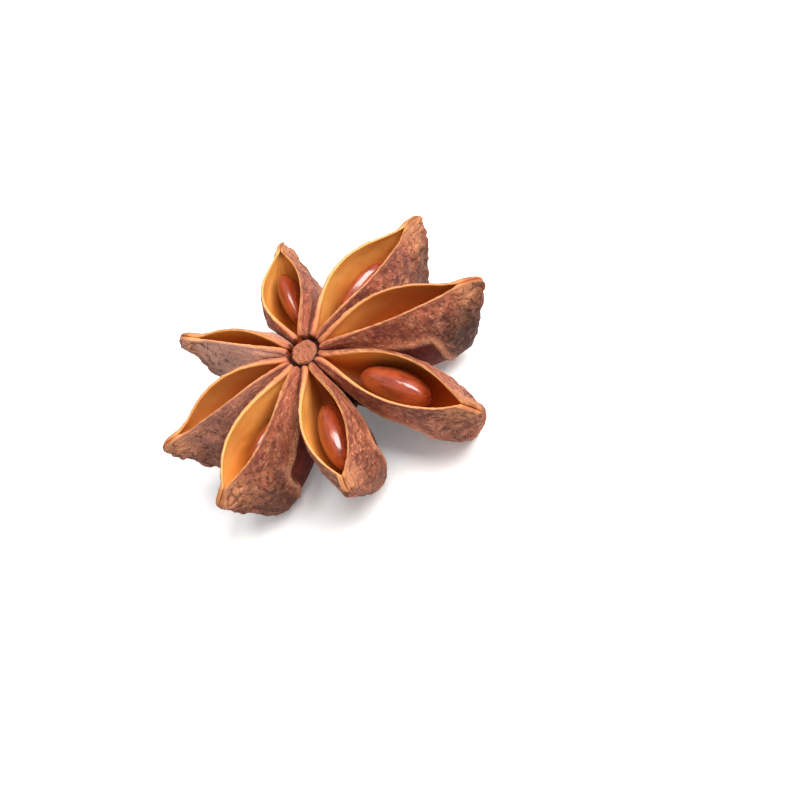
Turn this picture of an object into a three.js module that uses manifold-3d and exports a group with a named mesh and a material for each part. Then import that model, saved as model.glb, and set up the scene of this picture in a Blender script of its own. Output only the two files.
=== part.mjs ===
// Star anise pod: eight boat-shaped carpels round a short column, split open along their
// upper edges, five of them with a seed inside. It lies on its back with the open side up.
// Millimetres, +Z up. The origin is the middle of the stalk's scar, underneath, on the
// column's axis and on the surface that the pod lies on.

import * as THREE from "three";
import { mergeVertices } from "three/addons/utils/BufferGeometryUtils.js";
import Module from "manifold-3d";

// ---- driving dimensions -------------------------------------------------------------------

const LIP_LEVEL = 9.8; // height of the lips where they meet the column
const COLUMN_RADIUS = 1.2;
const COLUMN_RECESS = 0.15; // the column's top lies this far below the lips
const GROOVE_DEPTH = 0.9; // ring-shaped groove between the column and the lips
const LIP_START = 1.55; // distance of the lips' inner ends from the axis
const LIP_THICKNESS = 0.4;
const BEAK_HALF_WIDTH = 0.45;
const LIP_SPREAD = 0.3; // middle of a lip to the middle of its carpel, beside the column
const THIN_WALL = 0.45; // husk beside a cavity where a neighbour pressed it flat
const CUT_ABOVE = 1.5; // a cavity's cutting solid reaches this far above the lips
const FLOOR = 1.3; // husk below the seed cavity
const CAVITY_KEEL = 1.85; // half width of a cavity's floor
const CAVITY_DEPTH = 6.8; // most that a cavity reaches below its lips
const KEEL_HALF_WIDTH = 1.3;
const CAVITY_BULGE = 1; // how far a cavity's side swells beyond its lip
const HEEL_SOFTNESS = 0.7; // rounding where the front edge meets the keel
const LIPS_CLOSE = 0.91; // the lips meet at this fraction of the way to the tip
const LENS_STEEPNESS = 2.8; // how sharply an opening narrows towards its ends
const LEAN_FULL = 0.3; // a carpel's lean grows from nothing to full by this fraction
const BEAK_FROM = 0.75; // the beak's upturn starts at this fraction
const HEEL_AT = 0.6; // the keel is lowest from this fraction on
const KEEL_RISE = 0.9; // and this much higher beside the hub
const NOTCH_DEPTH = 0.4; // depth of a cavity at its two ends
const FACET_SHARE = 0.86; // neighbours shrank apart to this share of the angle between them
const HUB_RADIUS = 2.5; // solid middle that all carpels grow from
const SCAR_RADIUS = 1.5; // flat scar of the stalk, underneath, on the resting surface

// The carpels, counter-clockwise from above.
// turn: direction in degrees. reach: axis to tip. bend: sideways shift of the tip.
// lean: roll about its own length, in degrees.
// gape: half the opening at its widest, which is at fraction widest of the way out.
// arch: rise of the lips half way. drop and beak: fall of the lips to the tip, and its upturn.
// heel: height of the keel above the surface (below 0 is cut flat). bulge: how far a side wall
// swells beyond its lip. front: fall of the front edge below the beak, per millimetre inwards.
const CARPELS = [
  {
    id: 1, turn: -22, reach: 17.7, bend: -0.2, lean: -2,
    gape: 1.5, widest: 0.5, arch: 1.7, drop: -1.2, beak: 1.1,
    heel: 1.2, bulge: 1.2, front: 1.75,
  },
  {
    id: 2, turn: 15, reach: 16.5, bend: -0.3, lean: 1,
    gape: 1.8, widest: 0.52, arch: 1.7, drop: -2.4, beak: 1.4,
    heel: 0.8, bulge: 1.3, front: 1.75,
  },
  {
    id: 3, turn: 75, reach: 13.7, bend: -1.5, lean: 3,
    gape: 1.8, widest: 0.5, arch: 0.9, drop: -1.9, beak: 0.2,
    heel: -0.1, bulge: 1.3, front: 1.75,
  },
  {
    id: 4, turn: 126, reach: 13.4, bend: 0.1, lean: 3,
    gape: 0.6, widest: 0.45, arch: 1.5, drop: -1.5, beak: 1.3,
    heel: 1, bulge: 1.2, front: 1.75,
  },
  {
    id: 5, turn: 173, reach: 15.6, bend: 0.1, lean: 3,
    gape: 1.3, widest: 0.5, arch: 2.1, drop: -1.7, beak: 1.6,
    heel: 0.6, bulge: 1.2, front: 1.75,
  },
  {
    id: 6, turn: 204, reach: 16, bend: 0, lean: -4,
    gape: 1.6, widest: 0.62, arch: 1, drop: -0.8, beak: -0.2,
    heel: -0.4, bulge: 2, front: 2.4,
  },
  {
    id: 7, turn: 252, reach: 16.6, bend: 0.4, lean: 2,
    gape: 1.9, widest: 0.58, arch: 1.2, drop: 0, beak: 1,
    heel: 0.8, bulge: 1.2, front: 1.75,
  },
  {
    id: 8, turn: 296, reach: 19.8, bend: -0.2, lean: 7,
    gape: 2, widest: 0.56, arch: 0.9, drop: -1.3, beak: 1.2,
    heel: -0.2, bulge: 1.3, front: 1.75,
  },
];

// Seeds: which carpel holds each, distance of the middle from the axis, its shift across, its
// depth below the lips, and half sizes along, across and up.
const SEEDS = [
  { carpel: 2, at: 7.7, across: 0.1, below: 3.5, half: [3.6, 1.25, 2.1] },
  { carpel: 3, at: 7.8, across: 0, below: 3.4, half: [3, 1.15, 2.1] },
  { carpel: 6, at: 8.6, across: 0.25, below: 4, half: [3.3, 1.1, 2.1] },
  { carpel: 7, at: 8.8, across: 0, below: 3.4, half: [3.6, 1.6, 2.3] },
  { carpel: 8, at: 9.2, across: -0.05, below: 3.2, half: [3.8, 1.65, 2.3] },
];

// ---- small maths --------------------------------------------------------------------------

const clamp01 = (t) => Math.min(1, Math.max(0, t));
const smooth = (t) => clamp01(t) ** 2 * (3 - 2 * clamp01(t));
const mix = (a, b, t) => a + (b - a) * t;
const softMax = (a, b, k) => k * Math.log(Math.exp(a / k) + Math.exp(b / k));
const softMin = (a, b, k) => -softMax(-a, -b, k);

// A lens-shaped swell: 0 at both ends of 0..1 and 1 at the fraction where.
function lens(t, where) {
  const a = LENS_STEEPNESS * where;
  const b = LENS_STEEPNESS * (1 - where);
  const s = clamp01(t);
  return (s / where) ** a * ((1 - s) / (1 - where)) ** b;
}

// ---- a carpel's lines, all as functions of u: 0 at the column, 1 at the tip ----------------

const along = (c, u) => mix(LIP_START, c.reach, u);

function lipHeight(c, u) {
  const bow = c.arch * 4 * u * (1 - u);
  return LIP_LEVEL + bow + c.drop * u * u + c.beak * smooth((u - BEAK_FROM) / (1 - BEAK_FROM));
}

// Middle of the carpel to the middle of either lip.
const lipHalfWidth = (c, u) => LIP_SPREAD * (1 - u) + c.gape * lens(u / LIPS_CLOSE, c.widest);

// The keel runs level from under the column to the heel, then climbs the front edge to the beak.
function keelHeight(c, u) {
  const r = along(c, u);
  const tip = lipHeight(c, 1) - 2 * BEAK_HALF_WIDTH;
  const front = tip - c.front * (c.reach - r);
  const bottom = c.heel + KEEL_RISE * (1 - clamp01(u / HEEL_AT)) ** 2;
  return softMax(bottom, front, HEEL_SOFTNESS);
}

// Half the angle to the neighbour on one side: side is +1 counter-clockwise, -1 clockwise.
function halfAngle(c, side) {
  const n = CARPELS.length;
  const other = CARPELS[(CARPELS.indexOf(c) + side + n) % n];
  const turn = (((other.turn - c.turn) * side) % 360 + 360) % 360;
  return THREE.MathUtils.degToRad(turn / 2);
}

// A point of the section at u, from offsets across (y) and up from the lips (z): leant about
// the lips' middle line, kept inside the wedge between the neighbours less an inset, bent and
// turned.
function place(c, u, y, z, inset = 0) {
  const r = along(c, u);
  const lean = THREE.MathUtils.degToRad(c.lean) * smooth(u / LEAN_FULL);
  let across = y * Math.cos(lean) - z * Math.sin(lean) + c.bend * u * u;
  const up = y * Math.sin(lean) + z * Math.cos(lean);
  const side = across < 0 ? -1 : 1;
  const limit = Math.max(r * Math.tan(halfAngle(c, side)) * FACET_SHARE - inset, 0.02);
  across = side * softMin(Math.abs(across), limit, 0.03 + 0.02 * r);
  const turn = THREE.MathUtils.degToRad(c.turn);
  return new THREE.Vector3(
    r * Math.cos(turn) - across * Math.sin(turn),
    r * Math.sin(turn) + across * Math.cos(turn),
    lipHeight(c, u) + up,
  );
}

// ---- solids -------------------------------------------------------------------------------

// A closed solid through rings of points, each ring running the same way, with flat ends.
function loft(rings) {
  const n = rings[0].length;
  const points = rings.flat();
  const index = [];
  for (let i = 0; i + 1 < rings.length; i++) {
    for (let j = 0; j < n; j++) {
      const k = (j + 1) % n;
      index.push(i * n + j, (i + 1) * n + k, i * n + k);
      index.push(i * n + j, (i + 1) * n + j, (i + 1) * n + k);
    }
  }
  const ends = [rings[0], rings[rings.length - 1]];
  ends.forEach((ring, e) => {
    const middle = ring.reduce((sum, p) => sum.add(p), new THREE.Vector3()).divideScalar(n);
    points.push(middle);
    const base = e === 0 ? 0 : (rings.length - 1) * n;
    for (let j = 0; j < n; j++) {
      const k = (j + 1) % n;
      const a = base + (e === 0 ? j : k);
      const b = base + (e === 0 ? k : j);
      index.push(a, b, points.length - 1);
    }
  });
  const geometry = new THREE.BufferGeometry().setFromPoints(points);
  geometry.setIndex(index);
  return geometry;
}

// One side of a section: a curve from the lip (0) to the keel (1).
function sideCurve(lip, bulge, keel, depth, t) {
  const curve = new THREE.CubicBezierCurve(
    new THREE.Vector2(lip, 0),
    new THREE.Vector2(lip + bulge, -0.45 * depth),
    new THREE.Vector2(keel, -depth),
    new THREE.Vector2(0, -depth),
  );
  return curve.getPoint(t);
}

// A ring round a section: right side from keel to lip, then left side from lip to keel, with
// its two lip points raised.
function ring(c, u, lip, bulge, keel, depth, raise, inset, steps) {
  const points = [];
  for (let j = steps; j >= 0; j--) {
    const p = sideCurve(lip, bulge, keel, depth, j / steps);
    points.push(place(c, u, -p.x, p.y + (j === 0 ? raise : 0), inset));
  }
  for (let j = 0; j < steps; j++) {
    const p = sideCurve(lip, bulge, keel, depth, j / steps);
    points.push(place(c, u, p.x, p.y + (j === 0 ? raise : 0), inset));
  }
  return points;
}

const spaced = (i, n) => (1 - Math.cos((Math.PI * i) / n)) / 2;

function carpelBody(c) {
  const stations = 15;
  const steps = 7;
  const rings = [];
  for (let i = 0; i <= stations; i++) {
    const u = spaced(i, stations);
    const swell = lens(u, 0.48) ** 0.65;
    const lip = Math.max(lipHalfWidth(c, u) + LIP_THICKNESS / 2, BEAK_HALF_WIDTH);
    const keel = mix(BEAK_HALF_WIDTH, KEEL_HALF_WIDTH + c.bulge, swell);
    const depth = lipHeight(c, u) - keelHeight(c, u);
    rings.push(ring(c, u, lip, c.bulge * swell, keel, depth, 0, 0, steps));
  }
  return loft(rings);
}

function carpelCavity(c) {
  const stations = 11;
  const steps = 5;
  const rings = [];
  for (let i = 0; i <= stations; i++) {
    const u = mix(-0.02, LIPS_CLOSE, spaced(i, stations));
    const swell = lens(u / LIPS_CLOSE, 0.5) ** 0.5;
    const lip = Math.max(lipHalfWidth(c, u) - LIP_THICKNESS / 2, 0.05);
    const full = lipHeight(c, u) - keelHeight(c, u) - FLOOR;
    const depth = mix(NOTCH_DEPTH, Math.min(CAVITY_DEPTH, full), swell);
    const keel = CAVITY_KEEL * swell + 0.05;
    const inset = THIN_WALL * smooth(u / 0.1);
    rings.push(ring(c, u, lip, CAVITY_BULGE * swell, keel, depth, CUT_ABOVE, inset, steps));
  }
  return loft(rings);
}

// The middle: stalk scar below, groove and column above, as a turned solid.
function hub() {
  const grooveFloor = LIP_LEVEL - GROOVE_DEPTH;
  const profile = [
    [0, 0],
    [SCAR_RADIUS, 0],
    [HUB_RADIUS, 1.3],
    [HUB_RADIUS, LIP_LEVEL - 2.2],
    [LIP_START + 0.15, grooveFloor - 0.1],
    [COLUMN_RADIUS + 0.15, grooveFloor],
    [COLUMN_RADIUS, LIP_LEVEL - COLUMN_RECESS - 0.15],
    [COLUMN_RADIUS - 0.2, LIP_LEVEL - COLUMN_RECESS],
    [0, LIP_LEVEL - COLUMN_RECESS],
  ];
  const geometry = new THREE.LatheGeometry(profile.map(([x, y]) => new THREE.Vector2(x, y)), 24);
  return geometry.rotateX(Math.PI / 2);
}

const wasm = await Module();
wasm.setup();

function toSolid(geometry) {
  const bare = geometry.clone();
  bare.deleteAttribute("normal");
  bare.deleteAttribute("uv");
  const merged = mergeVertices(bare, 1e-4);
  const kept = [];
  for (let i = 0; i < merged.index.count; i += 3) {
    const [a, b, d] = [0, 1, 2].map((k) => merged.index.getX(i + k));
    if (a !== b && b !== d && d !== a) kept.push(a, b, d);
  }
  return new wasm.Manifold(new wasm.Mesh({
    numProp: 3,
    vertProperties: merged.attributes.position.array,
    triVerts: new Uint32Array(kept),
  }));
}

function toGeometry(solid) {
  const mesh = solid.getMesh();
  const geometry = new THREE.BufferGeometry();
  geometry.setAttribute("position", new THREE.BufferAttribute(mesh.vertProperties, 3));
  geometry.setIndex(new THREE.BufferAttribute(mesh.triVerts, 1));
  return geometry;
}

function husk() {
  let solid = toSolid(hub());
  for (const c of CARPELS) solid = solid.add(toSolid(carpelBody(c)));
  for (const c of CARPELS) solid = solid.subtract(toSolid(carpelCavity(c)));
  const margin = 40;
  const below = new THREE.BoxGeometry(margin, margin, margin);
  below.translate(0, 0, -margin / 2);
  return toGeometry(solid.subtract(toSolid(below)));
}

// A seed: an egg-shaped solid, a little pointed at the end towards the column.
function seed(s) {
  const c = CARPELS.find((other) => other.id === s.carpel);
  const geometry = new THREE.SphereGeometry(1, 16, 10);
  geometry.scale(...s.half);
  const u = (s.at - LIP_START) / (c.reach - LIP_START);
  const middle = place(c, u, s.across, -s.below);
  geometry.rotateX(THREE.MathUtils.degToRad(c.lean));
  geometry.rotateZ(THREE.MathUtils.degToRad(c.turn));
  return geometry.translate(middle.x, middle.y, middle.z);
}

// ---- the scene ----------------------------------------------------------------------------

const huskMaterial = new THREE.MeshStandardMaterial({ color: 0x8a4a34, roughness: 0.8, metalness: 0 });
const seedMaterial = new THREE.MeshStandardMaterial({ color: 0x9a3c14, roughness: 0.25, metalness: 0 });

const pod = new THREE.Group();

const huskMesh = new THREE.Mesh(husk(), huskMaterial);
huskMesh.name = "husk";
pod.add(huskMesh);

for (const s of SEEDS) {
  const mesh = new THREE.Mesh(seed(s), seedMaterial.clone());
  mesh.name = `seed_${s.carpel}`;
  pod.add(mesh);
}

export default pod;
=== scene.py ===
"""Star anise pod: fine surfaces, finishes, floor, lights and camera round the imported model.

Laid out as a Blender add-on and run as a script. Lengths are worked out in millimetres and
turned into metres where a mesh is made.
"""

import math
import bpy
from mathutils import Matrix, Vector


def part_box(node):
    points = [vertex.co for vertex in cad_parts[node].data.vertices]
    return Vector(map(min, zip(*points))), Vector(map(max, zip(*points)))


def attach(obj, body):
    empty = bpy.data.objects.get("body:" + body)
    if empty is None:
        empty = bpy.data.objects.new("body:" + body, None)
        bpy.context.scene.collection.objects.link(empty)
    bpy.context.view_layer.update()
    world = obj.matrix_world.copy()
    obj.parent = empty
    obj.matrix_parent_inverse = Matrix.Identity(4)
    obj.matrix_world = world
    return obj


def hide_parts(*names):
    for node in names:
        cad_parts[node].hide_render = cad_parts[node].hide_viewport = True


bl_info = {
    "name": "Star anise pod",
    "version": (1, 0, 0),
    "blender": (4, 5, 0),
    "location": "3D View > Sidebar > Pod",
    "description": "Builds a dried star anise pod with its seeds, floor, lights and camera",
    "category": "Add Mesh",
}

from typing import NamedTuple

import bpy
import numpy as np
from mathutils import Matrix, Vector

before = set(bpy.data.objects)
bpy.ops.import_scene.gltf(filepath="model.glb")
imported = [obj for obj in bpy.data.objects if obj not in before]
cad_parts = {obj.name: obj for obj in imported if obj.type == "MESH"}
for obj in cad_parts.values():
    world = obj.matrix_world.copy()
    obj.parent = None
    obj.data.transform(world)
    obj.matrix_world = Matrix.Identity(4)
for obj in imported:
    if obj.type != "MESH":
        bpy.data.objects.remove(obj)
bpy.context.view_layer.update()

# ---- sizes, in millimetres ------------------------------------------------------------------

MM = 0.001
BUMP_DISTANCE = 0.1 * MM  # depth of the grain that only the shading shows
LIP_LEVEL = 9.8  # height of the lips where they meet the column
LIP_START = 1.55  # distance of the lips' inner ends from the axis
LIP_HALF = 0.14  # half the thickness of a lip
LIP_HALF_INNER = 0.36  # the same beside the column, where the lips broaden
LIP_NARROWS = 0.4  # the lips reach their own thickness this far out
LIP_SPREAD = 0.3  # middle of a lip to the middle of its carpel, beside the column
LIPS_CLOSE = 0.91  # the lips meet at this fraction of the way to the tip
LENS_STEEPNESS = 2.8  # how sharply an opening narrows towards its ends
BEAK_HALF_WIDTH = 0.45
BEAK_FROM = 0.75  # the beak's upturn starts at this fraction
KEEL_HALF_WIDTH = 1.3
KEEL_RISE = 0.9  # the keel is this much higher beside the hub
HEEL_AT = 0.6  # the keel is lowest from this fraction on
HEEL_SOFTNESS = 0.7  # rounding where the front edge meets the keel
LEAN_FULL = 0.3  # a carpel's lean grows from nothing to full by this fraction
FACET_SHARE = 0.93  # neighbours together fill this share of the angle between them
LEAST_HALF = 0.02  # half the width that is left where walls would otherwise meet
THIN_WALL = 0.45  # husk beside a cavity where a neighbour pressed it flat
FLOOR_THICKNESS = 1.3  # husk below a cavity
CAVITY_KEEL = 1.85  # half the width of a cavity's floor
CAVITY_BULGE = 1.0  # how far a cavity's side swells beyond its lip
CAVITY_DEPTH = 6.8  # most that a cavity reaches below its lips
NOTCH_DEPTH = 0.8  # depth of a cavity at its inner end
NOTCH_DEPTH_TIP = 0.3  # and at its outer end
COLUMN_RADIUS = 1.24
COLUMN_TOP = LIP_LEVEL - 0.25
GROOVE_FLOOR = LIP_LEVEL - 0.9
HUB_RADIUS = 2.5
HUB_NARROWS = 3.0  # above this height the middle narrows, clear of the cavities
SCAR_RADIUS = 1.5
ROUND_SHARE = 0.1  # share of a wall line that goes round the lip
SHOULDER = 1.5  # how far the outer wall steps out below the lip, beside the column
SHOULDER_AT = 0.07  # share of the depth at which it is that wide
SHOULDER_ENDS = 0.55  # the step has died away this far out
BULGE_AT = 0.45  # further out a wall swells most at this share of its depth
FACET_END = 0.6  # the pressed side stops this far out, in an upright crease
FACET_HOLLOW = 0.1  # share by which the pressed side lies inside the wall
CREASE_TOP = 0.24  # share of the depth at which the crease starts, beside the column
CREASE_LOW = 0.36  # and at which it turns down
CREASE_WANDER = 0.022  # how far the crease strays from that line
TIP_ROUND = 0.45  # length over which the beak's end is rounded
TIP_ROUNDNESS = 0.97  # under 1, so that the last section keeps some width
LIP_END_ROUND = 0.28  # length over which a lip's inner end is rounded
LIP_END_ROUNDNESS = 0.995
LIP_END_FALL = 0.12  # the lip's inner end dips by this much


class Carpel(NamedTuple):
    """One boat of the star. Angles are in degrees; fractions run from the column to the tip."""

    id: int
    turn: float  # direction, counter-clockwise from +X
    reach: float  # axis to tip
    bend: float  # sideways shift of the tip
    lean: float  # roll about its own length
    gape: float  # half the opening where it is widest
    widest: float  # fraction at which it is widest
    arch: float  # rise of the lips half way
    drop: float  # rise of the lips at the tip, before the beak's upturn
    beak: float  # upturn of the beak
    heel: float  # height of the keel at its lowest
    bulge: float  # how far a side wall swells beyond its lip
    front: float = 1.75  # fall of the front edge below the beak, per millimetre inwards
    dark: float = 0.4  # how dark the heel is: darker skin there plus painted shade
    pale: float = 0.0  # how much paler skin and painted sheen the carpel gets
    tip: float = 0.24  # half the width of the beak's end
    lining_shade_share: float = 0.0  # how much painted shade browns the lining, on carpels that face away from the key light


CARPELS = (
    Carpel(1, turn=-22, reach=17.7, bend=-0.2, lean=-2, gape=1.5, widest=0.5,
           arch=1.7, drop=-1.2, beak=1.1, heel=1.2, bulge=1.2, dark=1.0,
           lining_shade_share=0.55),
    Carpel(2, turn=15, reach=16.5, bend=-0.3, lean=1, gape=1.8, widest=0.52,
           arch=1.7, drop=-2.4, beak=1.4, heel=0.8, bulge=1.3, dark=0.8),
    Carpel(3, turn=75, reach=13.7, bend=-1.5, lean=3, gape=1.8, widest=0.5,
           arch=0.9, drop=-1.9, beak=0.2, heel=-0.1, bulge=1.3),
    Carpel(4, turn=126, reach=13.4, bend=0.1, lean=3, gape=0.6, widest=0.45,
           arch=1.5, drop=-1.5, beak=1.3, heel=1, bulge=1.2, pale=1.0, lining_shade_share=0.15),
    Carpel(5, turn=173, reach=15.6, bend=0.1, lean=3, gape=1.3, widest=0.5,
           arch=2.1, drop=-1.7, beak=1.6, heel=0.6, bulge=1.2, pale=0.3, lining_shade_share=0.4),
    Carpel(6, turn=204, reach=16, bend=0, lean=-4, gape=1.6, widest=0.62,
           arch=1, drop=-0.8, beak=-0.2, heel=-0.4, bulge=2, front=2.4, dark=0.65, tip=0.45),
    Carpel(7, turn=252, reach=16.6, bend=0.4, lean=2, gape=1.9, widest=0.58,
           arch=1.2, drop=0, beak=1, heel=0.8, bulge=1.2, tip=0.42),
    Carpel(8, turn=296, reach=19.8, bend=-0.2, lean=7, gape=2, widest=0.56,
           arch=0.9, drop=-1.3, beak=1.2, heel=-0.2, bulge=1.3, dark=0.1, tip=0.34,
           lining_shade_share=0.25),
)

# Half sizes of the seeds along, across and up, by the carpel that holds each.
SEED_HALVES = {
    2: (3.6, 1.25, 2.1),
    3: (3.0, 1.15, 2.1),
    6: (3.3, 1.1, 2.1),
    7: (3.6, 1.6, 2.3),
    8: (3.8, 1.65, 2.3),
}

SEED_CLEARANCE = 0.03  # a seed's skin lies this far inside its CAD solid, room for its waves

STATIONS = 210  # rows of a carpel's grid, from the column to the tip
CROWDING = 0.45  # 0 spaces the rows evenly, 1 crowds them most towards both ends
WALL_POINTS = 58  # points of each of a section's four wall lines

# The stage, in metres, but for the lens, which is in millimetres.
LENS_LENGTH = 150
SHIFT_RIGHT = 0.0088
SHIFT_DOWN = 0.0045
LIGHT_DISTANCE = 0.25
KEY_SIZE = 0.18
WINDOW_SIZE = 0.07


# ---- small maths on whole arrays --------------------------------------------------------------

def clamp01(t):
    return np.clip(t, 0.0, 1.0)


def smooth(t):
    """0 below 0, 1 above 1, and the cubic 3t^2 - 2t^3 between."""
    t = clamp01(t)
    return t * t * (3 - 2 * t)


def mix(a, b, t):
    return a + (b - a) * t


def soft_max(a, b, k):
    """The larger of a and b, rounded over a width of about k where they cross."""
    return k * np.logaddexp(a / k, b / k)


def soft_min(a, b, k):
    return -soft_max(-a, -b, k)


def lens(t, where):
    """A lens-shaped swell: 0 at both ends of 0..1, 1 at where, a product of two powers."""
    a = LENS_STEEPNESS * where
    b = LENS_STEEPNESS * (1 - where)
    s = clamp01(t)
    return (s / where) ** a * ((1 - s) / (1 - where)) ** b


def lattice(ix, iy, iz, seed):
    """A repeatable value in -1..1 for each whole-numbered point, by mixing its digits."""
    h = ix * 374761393 + iy * 668265263 + iz * 1440662683 + seed * 1274126177
    h &= 0xFFFFFFFF
    h = ((h ^ (h >> 13)) * 1274126177) & 0xFFFFFFFF
    h = ((h ^ (h >> 15)) * 668265263) & 0xFFFFFFFF
    return (h ^ (h >> 16)) / 2147483647.5 - 1


def noise(p, seed):
    """Gradient noise at the points p: each lattice corner pulls with its own slope, and the
    eight pulls are blended by fifth-degree steps. About -1..1."""
    base = np.floor(p).astype(np.int64)
    f = p - base
    w = f * f * f * (f * (f * 6 - 15) + 10)
    total = np.zeros(p.shape[:-1])
    for corner in range(8):
        o = np.array([corner & 1, corner >> 1 & 1, corner >> 2 & 1])
        i = base + o
        d = f - o
        x, y, z = (i[..., k] for k in range(3))
        pull = sum(lattice(x, y, z, seed + 17 * k) * d[..., k] for k in range(3))
        share = np.prod(np.where(o == 1, w, 1 - w), axis=-1)
        total += pull * share
    return total * 1.6


def clouds(p, seed, octaves=3):
    """Noise summed over octaves, each twice as fine and half as strong."""
    return sum(noise(p * 2**k, seed + 31 * k) * 0.5**k for k in range(octaves))


def ridges(p, seed, width):
    """Winding crests where the noise crosses zero: a bell curve of its size."""
    return np.exp(-((noise(p, seed) / width) ** 2))


# ---- a carpel's lines, as functions of u: 0 at the column, 1 at the tip -------------------------

def along(c, u):
    return mix(LIP_START, c.reach, u)


def lip_height(c, u):
    """A bow over the length, plus the fall to the tip, plus the beak's own upturn."""
    bow = c.arch * 4 * u * (1 - u)
    return LIP_LEVEL + bow + c.drop * u * u + c.beak * smooth((u - BEAK_FROM) / (1 - BEAK_FROM))


def lip_mid(c, u):
    return LIP_SPREAD * (1 - u) + c.gape * lens(u / LIPS_CLOSE, c.widest)


def keel_height(c, u):
    """Level to the heel, then up the front edge to the beak; the two lines meet softly."""
    tip = lip_height(c, 1.0) - 2 * BEAK_HALF_WIDTH
    front = tip - c.front * (c.reach - along(c, u))
    bottom = c.heel + KEEL_RISE * (1 - clamp01(u / HEEL_AT)) ** 2
    return soft_max(bottom, front, HEEL_SOFTNESS)


def half_angle(c, side):
    """Half the angle to the neighbour, counter-clockwise for side 1, clockwise for -1."""
    other = CARPELS[(CARPELS.index(c) + side) % len(CARPELS)]
    return math.radians((other.turn - c.turn) * side % 360 / 2)


def lip_half(u):
    return mix(LIP_HALF_INNER, LIP_HALF, smooth(u / LIP_NARROWS))


def wall_line(mid, half, side, bulge, bulge_at, keel, depth, s):
    """Half a section, from the lip's crest (s = 0) to the bottom (s = 1): a quarter turn round
    the lip, then a cubic Bezier curve down the wall whose first handle is bulge out and
    bulge_at of the depth down. Returns the across and up offsets."""
    turn = clamp01(s / ROUND_SHARE) * math.pi / 2
    t = clamp01((s - ROUND_SHARE) / (1 - ROUND_SHARE))
    start = mid + side * half
    y = (1 - t) ** 3 * start + 3 * (1 - t) ** 2 * t * (start + bulge) + 3 * (1 - t) * t**2 * keel
    z = -half * (1 - t) ** 3 - 3 * (1 - t) ** 2 * t * bulge_at * depth
    z = z - depth * (3 * (1 - t) * t**2 + t**3)
    on_lip = s < ROUND_SHARE
    y = np.where(on_lip, mid + side * half * np.sin(turn), y)
    z = np.where(on_lip, -half * (1 - np.cos(turn)), z)
    return y, z


def section_lines(c, u, s):
    """The outer and inner wall lines of every station: (across, up) for each."""
    swell_out = lens(u, 0.48) ** 0.65
    swell_in = lens(u / LIPS_CLOSE, 0.5) ** 0.5
    half = lip_half(u)
    beak = mix(BEAK_HALF_WIDTH, c.tip, smooth((u - 0.86) / 0.14))
    narrowest = np.maximum(beak * smooth(u / 0.5), 1.6 * half) - half * 0.6
    mid = np.maximum(lip_mid(c, u), narrowest)
    depth = lip_height(c, u) - keel_height(c, u)
    keel = mix(beak, KEEL_HALF_WIDTH + c.bulge, swell_out)
    away = smooth(u / SHOULDER_ENDS)
    bulge = c.bulge * swell_out + SHOULDER * (1 - away)
    outer = wall_line(mid, half, 1, bulge, mix(SHOULDER_AT, BULGE_AT, away), keel, depth, s)
    mid_in = np.maximum(lip_mid(c, u), half + LEAST_HALF)
    room = np.minimum(CAVITY_DEPTH, depth - FLOOR_THICKNESS)
    notch = mix(NOTCH_DEPTH, NOTCH_DEPTH_TIP, smooth(u / 0.5))
    inner_depth = mix(notch, room, swell_in)
    floor = CAVITY_KEEL * swell_in + LEAST_HALF
    inner = wall_line(mid_in, half, -1, CAVITY_BULGE * swell_in, BULGE_AT, floor, inner_depth, s)
    return outer, inner


def carpel_grid(c):
    """Rows of closed sections: down the right outer wall, up the left, down the left inner
    wall and up the right. A point that two of these share is kept once. Returns the points
    and, for each, its masks."""
    even = np.linspace(0, 1, STATIONS)
    u = mix(even, (1 - np.cos(np.pi * even)) / 2, CROWDING)[:, None]
    s = np.linspace(0, 1, WALL_POINTS)[None, :]
    outer, inner = section_lines(c, u, s)
    quarters = (
        (outer, -1, 0, False, slice(0, None)),
        (outer, 1, 0, True, slice(1, None)),
        (inner, 1, 1, False, slice(1, None)),
        (inner, -1, 1, True, slice(1, -1)),
    )
    across, up, inside, place, around = [], [], [], [], []
    for quarter, ((y, z), side, within, backwards, kept) in enumerate(quarters):
        order = slice(None, None, -1 if backwards else 1)
        y = (side * y)[:, order][:, kept]
        z = z[:, order][:, kept]
        t = np.broadcast_to(s[:, order][:, kept], y.shape)
        round_lip = clamp01(t / ROUND_SHARE)
        across.append(y)
        up.append(z)
        place.append(t)
        around.append(quarter + (1 - t if backwards else t))
        inside.append(0.5 + (0.5 if within else -0.5) * round_lip)
    lists = (across, up, place, inside, around)
    y, z, t, inside, around = (np.concatenate(parts, axis=1) for parts in lists)
    return shape_carpel(c, u, y, z, t, inside, around)


def pressed_side(c, u, y, t):
    """How far inside the pressed side a point of the outer wall is: 0 on its crease, which
    runs down and out along the wall and then turns down to the keel, and 1 well inside.
    The crease wanders a little, by noise along the wall."""
    side = np.where(y < 0, 0.0, 40.0) + 7 * c.id
    spot = np.stack([along(c, u) * 0.55 + 0 * y, t * 6, side], axis=-1)
    wander = CREASE_WANDER * clouds(spot, 31, 2)
    crease = mix(CREASE_TOP, CREASE_LOW, smooth((u - 0.05) / 0.55)) + wander
    return soft_min((t - crease) / 0.06, (FACET_END + wander - u) / 0.035, 0.5)


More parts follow.
